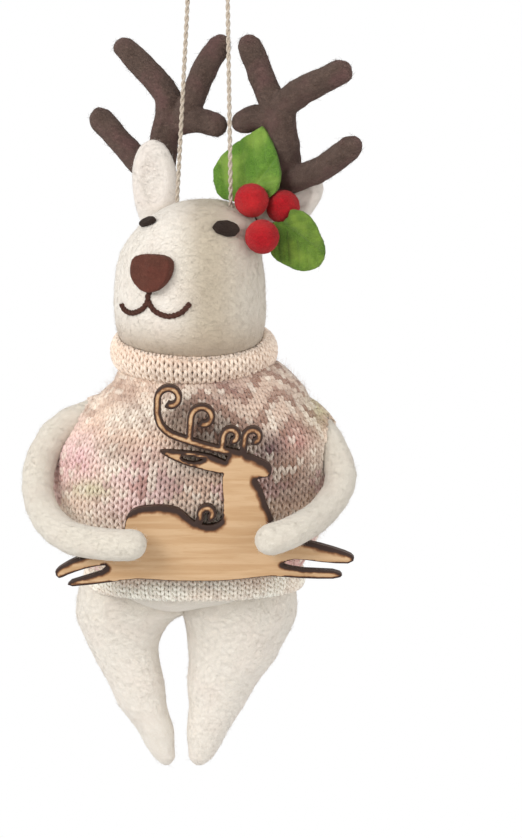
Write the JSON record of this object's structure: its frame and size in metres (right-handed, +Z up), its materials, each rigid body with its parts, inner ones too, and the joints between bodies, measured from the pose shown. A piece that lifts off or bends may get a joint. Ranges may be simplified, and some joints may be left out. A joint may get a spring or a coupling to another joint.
{
  "type": "felt christmas ornament",
  "caption": "Hanging reindeer ornament of needle-felted wool in a knitted sweater, hugging a flat wooden deer, with a sprig of holly and a twine loop.",
  "frame": {"origin": "where the hook bears on the underside of the twine at the top of the hanging loop", "axes": "+Z up along the hanging loop, -Y towards the viewer, +X to the viewer's right"},
  "size_m": [0.0709, 0.0528, 0.1731],
  "materials": {
    "jute_twine": "two plies of jute, twisted",
    "cream_felt": "needle-felted wool",
    "brown_felt": "needle-felted wool",
    "nose_felt": "needle-felted wool",
    "eye_felt": "needle-felted wool",
    "green_felt": "sheet felt",
    "red_felt": "needle-felted wool",
    "knit_yarn": "knitted wool",
    "cream_yarn": "knitted wool",
    "birch_plywood": "bare birch, edges browned by the laser",
    "steel_wire": "galvanised wire"
  },
  "bodies": {
    "hanging_loop": {"twine_loop": "jute_twine", "twine_knot": "jute_twine"},
    "ornament": {"twine_crown_stitch": "jute_twine", "head": "cream_felt", "nose": "nose_felt", "mouth_thread": "nose_felt", "left_eye": "eye_felt", "right_eye": "eye_felt", "left_ear": "cream_felt", "right_ear": "cream_felt", "left_antler_beam": "brown_felt", "left_antler_inner_tine": "brown_felt", "left_antler_brow_tine": "brown_felt", "left_antler_cross_tine": "brown_felt", "left_antler_wire": "steel_wire", "right_antler_beam": "brown_felt", "right_antler_inner_tine": "brown_felt", "right_antler_brow_tine": "brown_felt", "right_antler_cross_tine": "brown_felt", "right_antler_wire": "steel_wire", "holly_leaf_upper": "green_felt", "holly_leaf_lower": "green_felt", "berry_inner": "red_felt", "berry_outer": "red_felt", "berry_lower": "red_felt", "torso": "cream_felt", "left_leg": "cream_felt", "right_leg": "cream_felt", "left_arm": "cream_felt", "right_arm": "cream_felt", "arm_wire": "steel_wire", "sweater_body": "knit_yarn", "sweater_collar": "cream_yarn", "sweater_hem": "cream_yarn", "wooden_deer": "birch_plywood"}
  },
  "joints": [
    {"name": "nod_under_loop", "type": "hinge", "parent": "hanging_loop", "child": "ornament", "pos_m": [-0.001, 0.00053, -0.0507], "axis": [-0.8829, 0.4695, 0], "range_deg": [-10, 80]}
  ]
}
